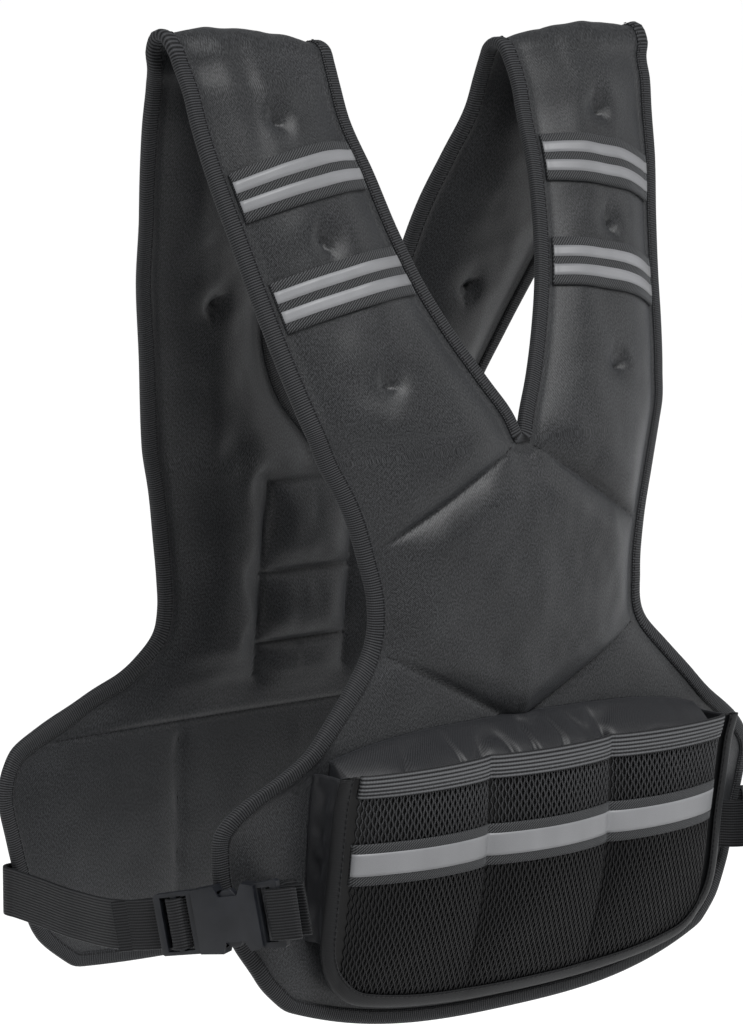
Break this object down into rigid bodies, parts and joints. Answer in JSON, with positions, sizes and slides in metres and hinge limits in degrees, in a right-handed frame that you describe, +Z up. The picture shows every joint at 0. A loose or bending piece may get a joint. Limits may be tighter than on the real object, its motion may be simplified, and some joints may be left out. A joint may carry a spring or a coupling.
{
  "type": "weighted vest",
  "caption": "Padded weighted exercise vest with a V neck, quilted straps with reflective keepers, a mesh front pocket and buckled side belts.",
  "frame": {"origin": "midway between the two shoulder straps, level with their undersides at the shoulder ridge", "axes": "+Z up, the front with the mesh pocket faces -Y, +X to the right of someone looking at the front"},
  "size_m": [0.4074, 0.2188, 0.4938],
  "materials": {
    "shell_fabric": "charcoal knit with a satin sheen",
    "binding_tape": "ribbed matt tape",
    "elastic_band": "ribbed dark grey elastic",
    "reflective": "silver grey reflective tape",
    "pocket_mesh": "open spacer mesh",
    "lining": "smooth nylon",
    "webbing": "ribbed webbing",
    "buckle_plastic": "fine matt"
  },
  "bodies": {
    "root": {"padded_shell": "shell_fabric", "outer_binding": "binding_tape", "neck_binding": "binding_tape", "pocket_mesh": "pocket_mesh", "pocket_lining": "lining", "pocket_binding": "binding_tape", "pocket_elastic_hem": "elastic_band", "pocket_reflective_band": "reflective", "pocket_gusset_left": "lining", "upper_keeper_left": "elastic_band", "upper_keeper_stripe_top_left": "reflective", "upper_keeper_stripe_bottom_left": "reflective", "lower_keeper_left": "elastic_band", "lower_keeper_stripe_top_left": "reflective", "lower_keeper_stripe_bottom_left": "reflective", "front_webbing_left": "webbing", "back_webbing_left": "webbing", "female_buckle_left": "buckle_plastic", "male_buckle_left": "buckle_plastic", "pocket_gusset_right": "lining", "upper_keeper_right": "elastic_band", "upper_keeper_stripe_top_right": "reflective", "upper_keeper_stripe_bottom_right": "reflective", "lower_keeper_right": "elastic_band", "lower_keeper_stripe_top_right": "reflective", "lower_keeper_stripe_bottom_right": "reflective", "front_webbing_right": "webbing", "back_webbing_right": "webbing", "female_buckle_right": "buckle_plastic", "male_buckle_right": "buckle_plastic"}
  },
  "joints": []
}
